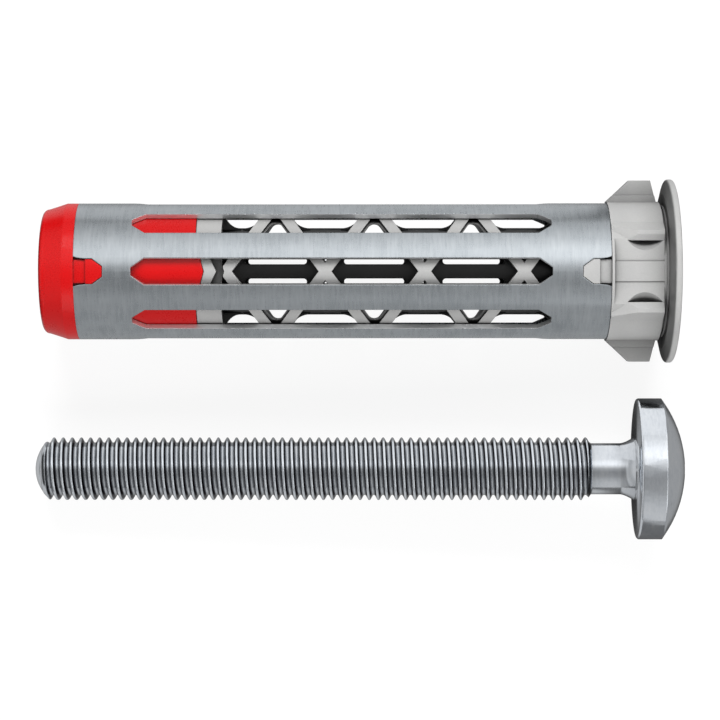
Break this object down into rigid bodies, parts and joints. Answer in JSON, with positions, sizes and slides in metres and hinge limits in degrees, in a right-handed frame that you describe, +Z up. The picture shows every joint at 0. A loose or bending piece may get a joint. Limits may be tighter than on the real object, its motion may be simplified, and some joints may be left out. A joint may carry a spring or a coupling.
{
  "type": "metal hollow wall anchor with machine screw",
  "caption": "Hollow wall anchor: a slotted metal sleeve over a plastic cage with a winged flange collar and a red nut cap, beside its domed-head machine screw.",
  "frame": {"origin": "middle of the footprint of the anchor and its screw as they lie on a flat surface, at that surface", "axes": "+X along both pieces towards the flange and the screw's head, +Y from the screw towards the anchor, +Z up"},
  "size_m": [0.0612, 0.0338, 0.0171],
  "materials": {
    "zinc_sheet": "brushed zinc-plated sheet",
    "red_plastic": "moulded red plastic, satin",
    "grey_plastic": "moulded grey plastic, satin",
    "zinc_steel": "bright zinc-plated steel"
  },
  "bodies": {
    "root": {"metal_sleeve": "zinc_sheet", "end_cap": "red_plastic", "threaded_nut": "zinc_steel", "collar_and_cage": "grey_plastic", "machine_screw": "zinc_steel"}
  },
  "joints": []
}
